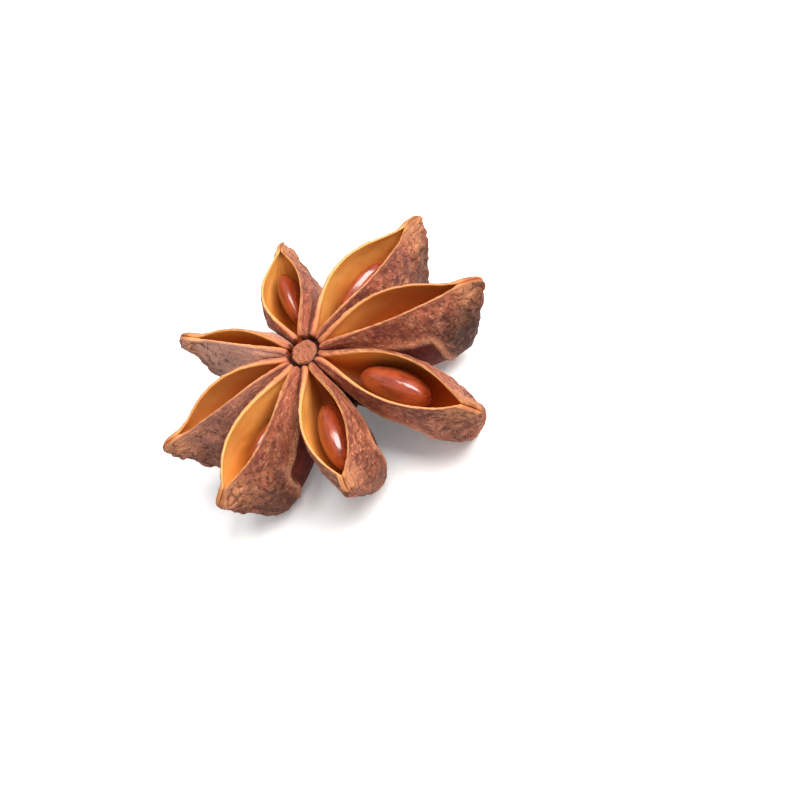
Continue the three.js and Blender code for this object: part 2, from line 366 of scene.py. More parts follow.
def shape_carpel(c, u, y, z, t, inside, around):
    """Leans, presses and bends the flat sections, then turns them out along the carpel."""
    r = along(c, u)
    side = np.where(y < 0, -1.0, 1.0)
    outside = clamp01(1 - 2 * inside)
    mid = np.maximum(lip_mid(c, u), lip_half(u) + LEAST_HALF)
    from_end = clamp01((r - LIP_START) / LIP_END_ROUND)
    end = np.sqrt(1 - (LIP_END_ROUNDNESS * (1 - from_end)) ** 2)
    near_top = smooth((z + 1.8) / 0.8)
    y = mix(y, side * mid + (y - side * mid) * end, near_top)
    z = z - LIP_END_FALL * (1 - end) * near_top
    facet = pressed_side(c, u, y, t)
    hollow = smooth(facet) * (1 - smooth((t - 0.88) / 0.1)) * outside * smooth(u / 0.1)
    y = y * (1 - FACET_HOLLOW * hollow)
    shrink = np.sqrt(1 - TIP_ROUNDNESS * clamp01(1 - (c.reach - r) / TIP_ROUND) ** 2)
    y = y * shrink
    z = (z + BEAK_HALF_WIDTH) * shrink - BEAK_HALF_WIDTH
    lean = math.radians(c.lean) * smooth(u / LEAN_FULL)
    across = y * np.cos(lean) - z * np.sin(lean) + c.bend * u * u
    height = lip_height(c, u) + y * np.sin(lean) + z * np.cos(lean)
    tangent = np.where(across < 0, math.tan(half_angle(c, -1)), math.tan(half_angle(c, 1)))
    inset = THIN_WALL * smooth(u / 0.1) * clamp01(inside * 2 - 1)
    limit = np.maximum(r * tangent * FACET_SHARE - inset, LEAST_HALF)
    free = np.abs(across)
    pressed = soft_min(free, limit, 0.03 + 0.02 * r)
    across = np.where(across < 0, -1.0, 1.0) * pressed
    turn = math.radians(c.turn)
    points = np.stack([
        r * np.cos(turn) - across * np.sin(turn),
        r * np.sin(turn) + across * np.cos(turn),
        height,
    ], axis=-1)
    masks = {
        "inside": inside,
        "facet": smooth(facet * 1.4) * outside,
        "crease": np.exp(-((facet / 0.55) ** 2)) * outside * smooth((u - 0.1) / 0.15),
        "deep": clamp01(-z / CAVITY_DEPTH) + 0 * y,
        "out": np.broadcast_to(u, y.shape),
        "down": t,
        "dark": c.dark + 0 * y,
        "pale": c.pale + 0 * y,
        "lining_shade_share": c.lining_shade_share + 0 * y,
        "grain": np.stack([r + 0 * y, around * 9.0, 7.0 * c.id + 0 * y], axis=-1),
    }
    return points, masks


def grid_normals(points):
    """Outward normals of a grid whose rows are closed rings, from its two slopes."""
    du = np.gradient(points, axis=0)
    dv = np.roll(points, -1, axis=1) - np.roll(points, 1, axis=1)
    n = np.cross(dv, du)
    return n / np.maximum(np.linalg.norm(n, axis=-1, keepdims=True), 1e-12)


def wrinkle(c, points, masks, height):
    """Raises the outer skin in lengthwise crests, sinks crevices between them and swells lumps
    towards the beak and heel; the lips are nibbled and the inner wall only waves a little.
    Returns the new points and the masks with those of the relief added."""
    normals = grid_normals(points)
    out, down, inside = masks["out"], masks["down"], masks["inside"]
    turn = math.radians(c.turn)
    lengthwise = points[..., 0] * math.cos(turn) + points[..., 1] * math.sin(turn)
    side = points[..., 1] * math.cos(turn) - points[..., 0] * math.sin(turn)
    q = np.stack([lengthwise * 0.5, side * 1.2 + 9 * c.id, points[..., 2] * 1.2], axis=-1)
    q = q + 0.45 * np.stack([clouds(q * 0.6, 40 + k, 2) for k in range(3)], axis=-1)
    outside, lining = clamp01(1 - 2 * inside), clamp01(2 * inside - 1)
    skin = outside * smooth((down - 0.05) / 0.1) * (1 - 0.9 * masks["facet"])
    rough = (0.3 + 0.7 * smooth((out - 0.3) / 0.4)) * (1 - 0.5 * smooth((down - 0.7) / 0.2))
    end = smooth((out - 0.01) / 0.06)
    crest = ridges(q, 3, 0.16) * 0.6 + ridges(q * 2.3, 4, 0.2) * 0.4
    crevice = ridges(q * 1.2 + 5, 5, 0.08) * 0.8 + ridges(q * 2.7, 6, 0.1) * 0.3
    lumps = clouds(points * 0.5 + 3 * c.id, 7, 2)
    crumple = ridges(points * 0.6 + 4 * c.id, 12, 0.2) + 0.5 * noise(points * 1.4, 14)
    gnarled = smooth((out - 0.62) / 0.25) * smooth((down - 0.12) / 0.25)
    lift = height * (0.75 * crest - 0.9 * crevice) * rough
    lift = lift + height * (1.6 * lumps * rough + 1.8 * (crumple - 0.3) * gnarled)
    lift = lift * skin + 0.12 * masks["crease"]
    bead = 1 - smooth((down - 0.02) / 0.1)
    lift = lift + (0.07 * clouds(points * 1.1, 9, 2) + 0.035 * noise(points * 3.1, 13)) * bead
    lift = lift + 0.05 * clouds(points * 0.5, 10, 2) * lining * smooth(down / 0.3)
    lift = lift + 0.12 * smooth((out - 0.9) / 0.1) * clouds(points * 1.1, 11, 2) * outside
    moved = points + normals * (lift * end)[..., None]
    moved[..., 2] = np.maximum(moved[..., 2], 0.0)
    extra = {"crest": clamp01(crest * skin), "crevice": clamp01(crevice * skin * rough)}
    return moved, {**masks, **extra}


# ---- meshes -------------------------------------------------------------------------------------

def add_object(name, points, faces, attributes, material):
    """A piece from points in millimetres, index rows of three or four, and point values."""
    mesh = bpy.data.meshes.new(name)
    mesh.from_pydata((points * MM).tolist(), [], faces)
    mesh.validate()
    mesh.polygons.foreach_set("use_smooth", np.ones(len(mesh.polygons), dtype=bool))
    for key, values in attributes.items():
        values = np.ascontiguousarray(values, dtype=np.float32)
        as_vector = values.ndim > 1 and values.shape[-1] == 3
        layer = mesh.attributes.new(key, "FLOAT_VECTOR" if as_vector else "FLOAT", "POINT")
        layer.data.foreach_set("vector" if as_vector else "value", values.ravel())
    mesh.materials.append(material)
    mesh.update()
    piece = bpy.data.objects.new(name, mesh)
    bpy.context.scene.collection.objects.link(piece)
    return piece


def ring_quads(rows, columns):
    """Index rows of the quads between rings that close on themselves."""
    i, j = np.meshgrid(np.arange(rows - 1), np.arange(columns), indexing="ij")
    k = (j + 1) % columns
    this, following = i * columns, (i + 1) * columns
    return np.stack([this + j, this + k, following + k, following + j], -1).reshape(-1, 4).tolist()


def folded_cap(first, columns, flip):
    """Closes a folded section: each outer point is joined to the inner point facing it."""
    faces = []
    for j in range(columns // 2):
        loop = [j, (columns - j) % columns, (columns - j - 1) % columns, j + 1]
        loop = [first + k for k in dict.fromkeys(loop)]
        faces.append(loop if flip else loop[::-1])
    return faces


def fan_cap(first, columns, middle, flip):
    """Closes a ring with triangles to a middle point."""
    loops = [[first + j, middle, first + (j + 1) % columns] for j in range(columns)]
    return loops if flip else [loop[::-1] for loop in loops]


def add_carpel(c, look, material):
    points, masks = carpel_grid(c)
    points, masks = wrinkle(c, points, masks, look.wrinkle_height / MM)
    rows, columns = points.shape[:2]
    faces = ring_quads(rows, columns)
    faces += folded_cap(0, columns, True)
    faces += folded_cap((rows - 1) * columns, columns, False)
    return add_object(f"carpel_{c.id}", points.reshape(-1, 3), faces, masks, material)


def turned_surface(profile, columns):
    """Rings of the profile's (radius, height) points round the Z axis."""
    angle = np.linspace(0, 2 * np.pi, columns, endpoint=False)[None, :]
    radius, height = profile[:, :1], profile[:, 1:]
    return np.stack([radius * np.cos(angle), radius * np.sin(angle), height + 0 * angle], axis=-1)


def resample(profile, count):
    """The same outline with count points, evenly spaced along its length."""
    profile = np.array(profile, dtype=float)
    steps = np.linalg.norm(np.diff(profile, axis=0), axis=1)
    at = np.concatenate([[0], np.cumsum(steps)])
    wanted = np.linspace(0, at[-1], count)
    return np.stack([np.interp(wanted, at, profile[:, k]) for k in (0, 1)], axis=-1)


def add_hub(material):
    """The scar, the solid middle, the groove and the column, as one turned surface with a
    rough top: heights get noise where the surface faces up."""
    outline = [
        (0.05, 0), (SCAR_RADIUS - 0.2, 0), (SCAR_RADIUS, 0.1), (HUB_RADIUS - 0.3, 1.0),
        (HUB_RADIUS, 1.8), (HUB_RADIUS, HUB_NARROWS), (LIP_START + 0.15, GROOVE_FLOOR - 0.25),
        (COLUMN_RADIUS + 0.12, GROOVE_FLOOR), (COLUMN_RADIUS + 0.02, GROOVE_FLOOR + 0.1),
        (COLUMN_RADIUS, COLUMN_TOP - 0.18), (COLUMN_RADIUS - 0.12, COLUMN_TOP), (0.05, COLUMN_TOP),
    ]
    points = turned_surface(resample(outline, 230), 160)
    rows, columns = points.shape[:2]
    radius = np.linalg.norm(points[..., :2], axis=-1)
    top = smooth((points[..., 2] - GROOVE_FLOOR - 0.2) / 0.3)
    angle = np.arctan2(points[..., 1], points[..., 0])
    wave = 1 + top * (0.02 * np.cos(8 * angle + 0.6) + 0.06 * noise(points * 1.2, 21))
    points[..., :2] *= wave[..., None]
    bumps = clouds(points * 2.6, 22, 3)
    dish = 0.1 * (1 - smooth(radius / COLUMN_RADIUS))
    points[..., 2] += top * (0.11 * bumps - dish) * smooth((COLUMN_RADIUS + 0.13 - radius) / 0.3 + 0.4)
    under = smooth((1.6 - points[..., 2]) / 0.6) * smooth(points[..., 2] / 0.3)
    points[..., 2] += 0.12 * under * clouds(points * 1.2, 23, 2)
    faces = ring_quads(rows, columns)
    flat = np.concatenate([points.reshape(-1, 3), points[:1].mean(axis=1), points[-1:].mean(axis=1)])
    first, last = rows * columns, rows * columns + 1
    faces += fan_cap(0, columns, first, True)
    faces += fan_cap((rows - 1) * columns, columns, last, False)
    masks = {
        "top": np.append(top, [0, 1]),
        "bump": np.append(clamp01(0.5 + bumps), [0.5, 0.5]),
        "grain": flat,
    }
    return add_object("column", flat, faces, masks, material)


def add_seed(carpel_id, halves, material):
    """An egg with its long axis along the carpel: x = a cos t; the section's radius is
    sin t, a little fuller towards the outer end, and a faint keel runs along its edge."""
    low, high = (np.array(corner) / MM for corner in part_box(f"seed_{carpel_id}"))
    c = next(other for other in CARPELS if other.id == carpel_id)
    t = np.linspace(0.03, np.pi - 0.03, 90)[:, None]
    turns = np.linspace(0, 2 * np.pi, 72, endpoint=False)[None, :]
    fullness = np.sin(t) * (1 + 0.07 * np.cos(t)) / 1.003
    keel = 1 + 0.02 * np.exp(-((np.sin(turns) - 1) / 0.02) ** 2) - 0.02
    shape = np.stack([
        np.cos(t) + 0 * turns,
        fullness * np.cos(turns) * keel,
        fullness * np.sin(turns) * keel,
    ], axis=-1)
    local = shape * (np.array(halves) - SEED_CLEARANCE)
    waves = 1 + 0.012 * clouds(local * np.array([0.35, 0.9, 0.9]) + 7 * carpel_id, 60, 2)
    local = local * waves[..., None]
    lean, turn = math.radians(c.lean), math.radians(c.turn)
    spin = np.array(Matrix.Rotation(turn, 3, "Z") @ Matrix.Rotation(lean, 3, "X"))
    points = local @ spin.T + (low + high) / 2
    rows, columns = points.shape[:2]
    faces = [loop[::-1] for loop in ring_quads(rows, columns)]
    flat = np.concatenate([points.reshape(-1, 3), points[:1].mean(axis=1), points[-1:].mean(axis=1)])
    faces += fan_cap(0, columns, rows * columns, False)
    faces += fan_cap((rows - 1) * columns, columns, rows * columns + 1, True)
    ends = local[[0, -1]].mean(axis=1)
    grain = np.concatenate([local.reshape(-1, 3), ends]) + np.array([0, 0, 9 * carpel_id])
    return add_object(f"seed_{carpel_id}", flat, faces, {"grain": grain}, material)


# ---- materials ------------------------------------------------------------------------------------

def linear(red, green, blue):
    """A colour given in 0..255 display steps, as linear values."""
    parts = (v / 255 for v in (red, green, blue))
    return tuple(((v + 0.055) / 1.055) ** 2.4 if v > 0.04045 else v / 12.92 for v in parts)


def add_node(tree, kind, values=None, **settings):
    made = tree.nodes.new(kind)
    for key, value in settings.items():
        setattr(made, key, value)
    for key, value in (values or {}).items():
        made.inputs[key].default_value = value
    return made


def put(tree, socket, value):
    """Links a socket to another, or sets it to a plain value."""
    if isinstance(value, bpy.types.NodeSocket):
        tree.links.new(value, socket)
    elif hasattr(value, "__len__"):
        socket.default_value = (*value, 1.0)[:4]
    else:
        socket.default_value = value


def blend_colours(tree, factor, a, b):
    made = add_node(tree, "ShaderNodeMix", data_type="RGBA")
    put(tree, made.inputs[0], factor)
    put(tree, made.inputs[6], a)
    put(tree, made.inputs[7], b)
    return made.outputs[2]


def product(tree, first, *others):
    for other in others:
        first = maths(tree, "MULTIPLY", first, other)
    return first


def blend_values(tree, factor, a, b):
    made = add_node(tree, "ShaderNodeMix", data_type="FLOAT")
    put(tree, made.inputs[0], factor)
    put(tree, made.inputs[2], a)
    put(tree, made.inputs[3], b)
    return made.outputs[0]


def maths(tree, operation, a, b):
    made = add_node(tree, "ShaderNodeMath", operation=operation)
    put(tree, made.inputs[0], a)
    put(tree, made.inputs[1], b)
    return made.outputs[0]


def stepped(tree, value, low, high, to_low=0.0, to_high=1.0):
    """Maps low..high of a value smoothly to to_low..to_high."""
    made = add_node(tree, "ShaderNodeMapRange", interpolation_type="SMOOTHSTEP")
    put(tree, made.inputs["Value"], value)
    wanted = {"From Min": low, "From Max": high, "To Min": to_low, "To Max": to_high}
    for key, number in wanted.items():
        made.inputs[key].default_value = number
    return made.outputs["Result"]


def point_value(tree, name):
    return add_node(tree, "ShaderNodeAttribute", attribute_name=name).outputs["Fac"]


def grain_vector(tree, lengthwise):
    """The piece's own grain coordinates, in millimetres, shortened along the length."""
    source = add_node(tree, "ShaderNodeAttribute", attribute_name="grain")
    scaled = add_node(tree, "ShaderNodeVectorMath", operation="MULTIPLY")
    tree.links.new(source.outputs["Vector"], scaled.inputs[0])
    scaled.inputs[1].default_value = (lengthwise, 1.0, 1.0)
    return scaled.outputs[0]


def noise_value(tree, vector, scale, detail=3.0, roughness=0.55, warp=0.0):
    made = add_node(tree, "ShaderNodeTexNoise")
    tree.links.new(vector, made.inputs["Vector"])
    wanted = {"Scale": scale, "Detail": detail, "Roughness": roughness, "Distortion": warp}
    for key, value in wanted.items():
        put(tree, made.inputs[key], value)
    return made.outputs["Fac"]


def patches(tree, vector, scale, low, high, detail=3.0):
    """A mask of irregular patches: noise cut to a soft edge."""
    return stepped(tree, noise_value(tree, vector, scale, detail, 0.6, 0.4), low, high)


def dried_skin_group():
    """Shared dried-plant skin: broad patches, lengthwise streaks, fine grain and dark pits, over
    the piece's grain coordinates. Height is for a Bump node; the rest vary the colour."""
    group = bpy.data.node_groups.new("dried_skin", "ShaderNodeTree")
    for name, default in (("Patch Scale", 0.9), ("Streak Scale", 3.2), ("Grain Scale", 9.0)):
        socket = group.interface.new_socket(name, in_out="INPUT", socket_type="NodeSocketFloat")
        socket.default_value = default
    for name in ("Patches", "Second Patches", "Streaks", "Grain", "Pits", "Flecks", "Height"):
        group.interface.new_socket(name, in_out="OUTPUT", socket_type="NodeSocketFloat")
    given = add_node(group, "NodeGroupInput")
    result = add_node(group, "NodeGroupOutput")
    even, long = grain_vector(group, 0.8), grain_vector(group, 0.3)
    first = patches(group, even, given.outputs["Patch Scale"], 0.38, 0.62)
    doubled = product(group, given.outputs["Patch Scale"], 1.9)
    second = patches(group, even, doubled, 0.4, 0.66)
    streaks = noise_value(group, long, given.outputs["Streak Scale"], 4.0, 0.62, 0.5)
    grain = noise_value(group, even, given.outputs["Grain Scale"], 4.0, 0.62)
    pits = add_node(group, "ShaderNodeTexVoronoi", feature="SMOOTH_F1")
    group.links.new(even, pits.inputs["Vector"])
    group.links.new(product(group, given.outputs["Grain Scale"], 0.4), pits.inputs["Scale"])
    pit_mask = stepped(group, pits.outputs["Distance"], 0.1, 0.4, 1.0, 0.0)
    pit_mask = product(group, pit_mask, stepped(group, grain, 0.4, 0.6))
    fleck_scale = product(group, given.outputs["Patch Scale"], 5.5)
    flecks = patches(group, grain_vector(group, 0.45), fleck_scale, 0.56, 0.68, 2.0)
    height = maths(group, "ADD", product(group, streaks, 1.6), grain)
    height = maths(group, "ADD", height, product(group, flecks, 0.4))
    height = maths(group, "SUBTRACT", height, product(group, pit_mask, 0.5))
    made = (first, second, stepped(group, streaks, 0.38, 0.62), grain, pit_mask, flecks, height)
    for socket, value in zip(result.inputs, made):
        group.links.new(value, socket)
    return group


def start_material(name):
    material = bpy.data.materials.new(name)
    material.use_nodes = True
    shader = material.node_tree.nodes["Principled BSDF"]
    return material, material.node_tree, shader


def use_group(tree, group, **values):
    made = add_node(tree, "ShaderNodeGroup", node_tree=group)
    for key, value in values.items():
        made.inputs[key.replace("_", " ")].default_value = value
    return made.outputs


def bump(tree, height, strength):
    made = add_node(tree, "ShaderNodeBump", {"Strength": strength, "Distance": BUMP_DISTANCE})
    tree.links.new(height, made.inputs["Height"])
    return made.outputs["Normal"]


def skin_colour(tree, look, parts):
    """The outer skin: patches of three browns, dark crevices deepened with painted shade, tan crests
    and flecks that are partly rubbed and partly painted highlight, a tan beak, a heel darkened partly
    with painted shade, a painted sheen on the paler carpels, and the pressed sides, darkened with
    painted shade, with their light crease."""
    out, down, facet = (point_value(tree, name) for name in ("out", "down", "facet"))
    crest, crevice = point_value(tree, "crest"), point_value(tree, "crevice")
    grain, patch, second_patch = parts["Grain"], parts["Patches"], parts["Second Patches"]
    colour = blend_colours(tree, patch, look.skin_colour, look.skin_second)
    tan_patch = product(tree, second_patch, stepped(tree, out, 0.1, 0.7, 0.25, 0.8))
    colour = blend_colours(tree, tan_patch, colour, look.skin_third)
    near_axis = stepped(tree, out, 0.08, 0.42, 0.6, 0.0)
    colour = blend_colours(tree, near_axis, colour, look.skin_colour)
    # painted sheen, partly: the palest carpels get a whitish pink over their paler skin
    paleness_and_sheen = product(tree, point_value(tree, "pale"), stepped(tree, out, 0.0, 0.3, 0.3, 0.95))
    colour = blend_colours(tree, paleness_and_sheen, colour, look.pale_skin_and_sheen_colour)
    # painted shade, partly: the heel, low on the outer half, is darkened beyond its own darker skin,
    # more on some carpels
    heel = product(tree, stepped(tree, out, 0.54, 0.7), stepped(tree, down, 0.2, 0.45))
    heel = product(tree, heel, stepped(tree, out, 0.82, 0.97, 1.0, 0.4), point_value(tree, "dark"))
    colour = blend_colours(tree, product(tree, heel, 0.93), colour, look.heel_skin_and_shade_colour)
    beak = product(tree, stepped(tree, out, 0.74, 0.9), stepped(tree, down, 0.22, 0.6, 1.0, 0.0))
    beak = product(tree, beak, stepped(tree, grain, 0.35, 0.6, 0.45, 1.0), 0.8)
    colour = blend_colours(tree, beak, colour, look.beak_colour)
    streaks = product(tree, parts["Streaks"], 0.28)
    colour = blend_colours(tree, streaks, colour, look.crevice_and_shade_colour)
    bare = stepped(tree, heel, 0.0, 1.0, 1.0, 0.35)
    # the crests: rubbed tan, partly a painted highlight along them
    rubbed_and_highlit = product(tree, stepped(tree, crest, 0.3, 0.8), stepped(tree, grain, 0.38, 0.6), bare, 0.45)
    colour = blend_colours(tree, rubbed_and_highlit, colour, look.crest_and_highlight_colour)
    # painted shade, partly: the crevices between the wrinkles are darkened over their own darker skin
    crevice_tone_and_shade = stepped(tree, crevice, 0.15, 0.8, 0.0, 0.7)
    colour = blend_colours(tree, crevice_tone_and_shade, colour, look.crevice_and_shade_colour)
    speckle = stepped(tree, grain, 0.32, 0.52, 0.45, 0.0)
    colour = blend_colours(tree, speckle, colour, look.crevice_and_shade_colour)
    # painted highlights: small bright flecks in the crest colour
    flecks = product(tree, parts["Flecks"], blend_values(tree, patch, 0.65, 0.2), bare)
    colour = blend_colours(tree, flecks, colour, look.crest_and_highlight_colour)
    pits = product(tree, parts["Pits"], 0.35)
    colour = blend_colours(tree, pits, colour, look.crevice_and_shade_colour)
    # the pressed sides: their own smooth red-brown, darkened with painted shade
    pressed = blend_colours(tree, second_patch, look.facet_and_shade_colour, look.facet_second_and_shade)
    colour = blend_colours(tree, product(tree, facet, 0.92), colour, pressed)
    crease = product(tree, point_value(tree, "crease"), stepped(tree, grain, 0.35, 0.6, 0.2, 0.8))
    return blend_colours(tree, crease, colour, look.crest_and_highlight_colour)


def lining_colour(tree, look):
    """The satin inner wall: lighter at the lip and deeper orange towards the floor and the column,
    partly its own colour and partly painted shade. Painted shade also darkens the beak's closed seam
    over its dark line, the deep inner end, the side by the groove, and the whole lining of the carpels
    that face away from the key light."""
    out, deep = point_value(tree, "out"), point_value(tree, "deep")
    # partly painted shade: the lining darkens towards the cavity floor, over its own deeper orange
    colour = blend_colours(tree, stepped(tree, deep, 0.05, 0.8), look.lining_colour, look.lining_deep_and_shade)
    # painted shade, partly: the lining in the narrow inner end by the column is darkened
    near_column_shade = stepped(tree, out, 0.0, 0.25, 0.6, 0.0)
    colour = blend_colours(tree, near_column_shade, colour, look.lining_deep_and_shade)
    # the beak's closed seam: a dark seam line, with painted shade in the narrowing slit
    seam = stepped(tree, out, 0.84, 0.93, 0.0, 0.85)
    colour = blend_colours(tree, seam, colour, look.suture_and_shade_colour)
    # painted shade: the deep inner end of the cavity, beside the column
    deep_inner_shade = product(tree, stepped(tree, deep, 0.15, 0.6), stepped(tree, out, 0.2, 0.5, 0.65, 0.0))
    colour = blend_colours(tree, deep_inner_shade, colour, look.suture_and_shade_colour)
    # painted shade: the lining beside the groove round the column
    groove_lining_shade = stepped(tree, out, 0.005, 0.05, 0.9, 0.0)
    colour = blend_colours(tree, groove_lining_shade, colour, look.suture_and_shade_colour)
    # painted shade: the lining of the carpels that face away from the key light is browned, carpel by
    # carpel
    lining_shade_share = product(tree, point_value(tree, "lining_shade_share"), stepped(tree, out, 0.1, 0.45, 0.3, 1.0))
    colour = blend_colours(tree, lining_shade_share, colour, look.lining_shade_colour)
    cloud = noise_value(tree, grain_vector(tree, 0.5), 0.7, 3.0)
    return blend_colours(tree, stepped(tree, cloud, 0.4, 0.7, 0.0, 0.35), colour, look.lining_deep_and_shade)


def husk_material(look, skin):
    """Rough wrinkled skin outside, satin lining inside, pale ragged lips between them."""
    material, tree, shader = start_material("husk")
    parts = use_group(tree, skin)
    inside, down, out = (point_value(tree, name) for name in ("inside", "down", "out"))
    facet = point_value(tree, "facet")
    wander = noise_value(tree, grain_vector(tree, 0.8), 2.2, 3.0)
    edge = maths(tree, "ADD", inside, stepped(tree, wander, 0.3, 0.7, -0.12, 0.12))
    skin_side, lining_side = skin_colour(tree, look, parts), lining_colour(tree, look)
    colour = blend_colours(tree, stepped(tree, edge, 0.4, 0.62), skin_side, lining_side)
    near = stepped(tree, out, 0.1, 0.4, 1.0, 0.0)
    narrow = stepped(tree, down, 0.03, 0.1, 1.0, 0.0)
    broad = stepped(tree, down, 0.08, 0.2, 1.0, 0.0)
    within = blend_values(tree, near, stepped(tree, edge, 0.55, 0.9, 1.0, 0.35), 0.9)
    lip = product(
        tree, blend_values(tree, near, narrow, broad), stepped(tree, edge, 0.25, 0.45), within,
        stepped(tree, out, 0.82, 0.95, 0.85, 0.15), stepped(tree, parts["Grain"], 0.3, 0.5, 0.55, 1.0))
    pale = blend_colours(
        tree, stepped(tree, out, 0.05, 0.35), look.lip_inner_colour, look.lip_colour)
    colour = blend_colours(tree, lip, colour, pale)
    # painted shade: the carpel's inner end, down in the groove round the column
    inner_end_shade = stepped(tree, out, 0.0, 0.008, 0.85, 0.0)
    colour = blend_colours(tree, inner_end_shade, colour, look.suture_and_shade_colour)
    tree.links.new(colour, shader.inputs["Base Color"])
    rough = blend_values(tree, stepped(tree, inside, 0.5, 0.9), 0.68, 0.4)
    tree.links.new(blend_values(tree, facet, rough, 0.6), shader.inputs["Roughness"])
    off_lining = stepped(tree, inside, 0.4, 0.6, 1.0, 0.08)
    off_facet = stepped(tree, facet, 0.0, 1.0, 1.0, 0.25)
    height = product(tree, parts["Height"], off_lining, off_facet)
    tree.links.new(bump(tree, height, 0.75), shader.inputs["Normal"])
    tree.links.new(blend_values(tree, facet, 0.22, 0.1), shader.inputs["Specular IOR Level"])
    return material


def column_material(look, skin):
    """Granular tan top; the rest, with the groove round the column, is dark dried skin darkened with
    painted shade.
    """
    material, tree, shader = start_material("column")
    parts = use_group(tree, skin, Patch_Scale=1.6, Streak_Scale=4.0, Grain_Scale=12.0)
    top, bumps = point_value(tree, "top"), point_value(tree, "bump")
    # dark skin, with painted shade for the groove round the column
    rest = blend_colours(tree, parts["Patches"], look.facet_and_shade_colour, look.crevice_and_shade_colour)
    cut = blend_colours(tree, stepped(tree, bumps, 0.2, 0.8), look.skin_colour, look.column_colour)
    cut = blend_colours(tree, stepped(tree, parts["Grain"], 0.35, 0.65), look.skin_third, cut)
    colour = blend_colours(tree, stepped(tree, top, 0.5, 0.95), rest, cut)
    tree.links.new(colour, shader.inputs["Base Color"])
    shader.inputs["Roughness"].default_value = 0.8
    tree.links.new(bump(tree, parts["Height"], 0.6), shader.inputs["Normal"])
    return material


def seed_material(look):
    """Glossy hard coat over red-brown, with faint lengthwise streaks and paler patches."""
    material, tree, shader = start_material("seed")
    streaks = noise_value(tree, grain_vector(tree, 0.12), 3.0, 4.0, 0.6, 0.3)
    blotch = noise_value(tree, grain_vector(tree, 0.6), 0.5, 3.0, 0.5)
    colour = blend_colours(tree, stepped(tree, streaks, 0.35, 0.7), look.seed_colour, look.seed_dark)
    colour = blend_colours(tree, stepped(tree, blotch, 0.42, 0.7, 0.0, 0.5), colour, look.seed_light)
    tree.links.new(colour, shader.inputs["Base Color"])
    tree.links.new(stepped(tree, blotch, 0.3, 0.7, 0.22, 0.34), shader.inputs["Roughness"])
    shader.inputs["Coat Weight"].default_value = 0.6
    shader.inputs["Coat Roughness"].default_value = 0.14
    tree.links.new(bump(tree, streaks, 0.15), shader.inputs["Normal"])
    return material


def floor_material(look):
    """Plain pale floor with a hardly visible unevenness in its gloss."""
    material, tree, shader = start_material("floor")
    vector = add_node(tree, "ShaderNodeTexCoord").outputs["Object"]
    shade = noise_value(tree, vector, 6.0, 2.0)
    tree.links.new(stepped(tree, shade, 0.3, 0.7, 0.75, 0.85), shader.inputs["Roughness"])
    shader.inputs["Base Color"].default_value = (*look.floor_colour, 1.0)
    shader.inputs["Emission Color"].default_value = (1.0, 1.0, 1.0, 1.0)
    shader.inputs["Emission Strength"].default_value = look.floor_glow
    return material


# ---- what a user can change -------------------------------------------------------------------------

def colour_choice(name, description, red, green, blue):
    return bpy.props.FloatVectorProperty(
        name=name, description=description, subtype="COLOR", size=3, min=0.0, max=1.0,
        default=linear(red, green, blue))


class PodHuskLook(bpy.types.PropertyGroup):
    """Sizes and colours of the husk."""

    wrinkle_height: bpy.props.FloatProperty(
        name="Wrinkle height", description="Rise of the skin's crests", default=0.00011, unit="LENGTH")
    skin_colour: colour_choice("Skin", "Salmon patches of the outer skin", 162, 86, 61)
    skin_second: colour_choice("Second skin", "Mauve-brown patches of the outer skin", 112, 54, 42)
    skin_third: colour_choice("Third skin", "Tan-brown patches of the outer skin", 134, 76, 46)
    # darker skin low on the outer half, deepened with painted shade
    heel_skin_and_shade_colour: colour_choice("Heel", "Dark skin low on the outer half", 48, 30, 22)
    beak_colour: colour_choice("Beak", "Tan skin of the beak's top", 196, 132, 90)
    # paler skin with a painted whitish sheen
    pale_skin_and_sheen_colour: colour_choice("Bleached skin", "Skin of the palest carpels", 208, 156, 136)
    # rubbed tan of the crests, also the colour of painted highlights on crests and flecks
    crest_and_highlight_colour: colour_choice("Crests", "Worn crests of the wrinkles", 200, 136, 100)
    # dark marks of the skin, also painted shade in the crevices and the column's groove
    crevice_and_shade_colour: colour_choice("Crevices", "Dark lines between the wrinkles", 62, 22, 14)
    # painted shade, partly: the pressed sides' red-brown, darkened to the shade they lie in
    facet_and_shade_colour: colour_choice("Facets", "Smooth sides pressed by a neighbour", 76, 18, 12)
    facet_second_and_shade: colour_choice("Second facet", "Redder patches of the pressed sides", 104, 32, 20)
    lining_colour: colour_choice("Lining", "Satin inner wall", 238, 174, 90)
    # the lining's deeper orange, also used as painted shade low in the cavity and near the column
    lining_deep_and_shade: colour_choice("Deep lining", "Inner wall near the floor", 206, 109, 40)
    # painted shade: browner lining for the carpels that face away from the key light
    lining_shade_colour: colour_choice("Burnt lining", "Lining of the brownest carpels", 160, 68, 28)
    # a dark seam line, also the colour of the painted shade deep in the cavities and by the groove
    suture_and_shade_colour: colour_choice("Suture", "Dark closed line along the beak's top", 104, 44, 22)
    lip_colour: colour_choice("Lips", "Pale edge of the split", 198, 134, 94)
    lip_inner_colour: colour_choice("Inner lips", "The lips' edge beside the column", 170, 100, 73)
    column_colour: colour_choice("Column", "Granular top of the column", 158, 95, 67)


class PodSeedLook(bpy.types.PropertyGroup):
    """Colours of the seeds."""

    seed_colour: colour_choice("Coat", "Main colour of the seed coat", 142, 55, 26)
    seed_dark: colour_choice("Streaks", "Dark streaks of the seed coat", 104, 33, 16)
    seed_light: colour_choice("Light patches", "Paler patches of the seed coat", 174, 82, 44)


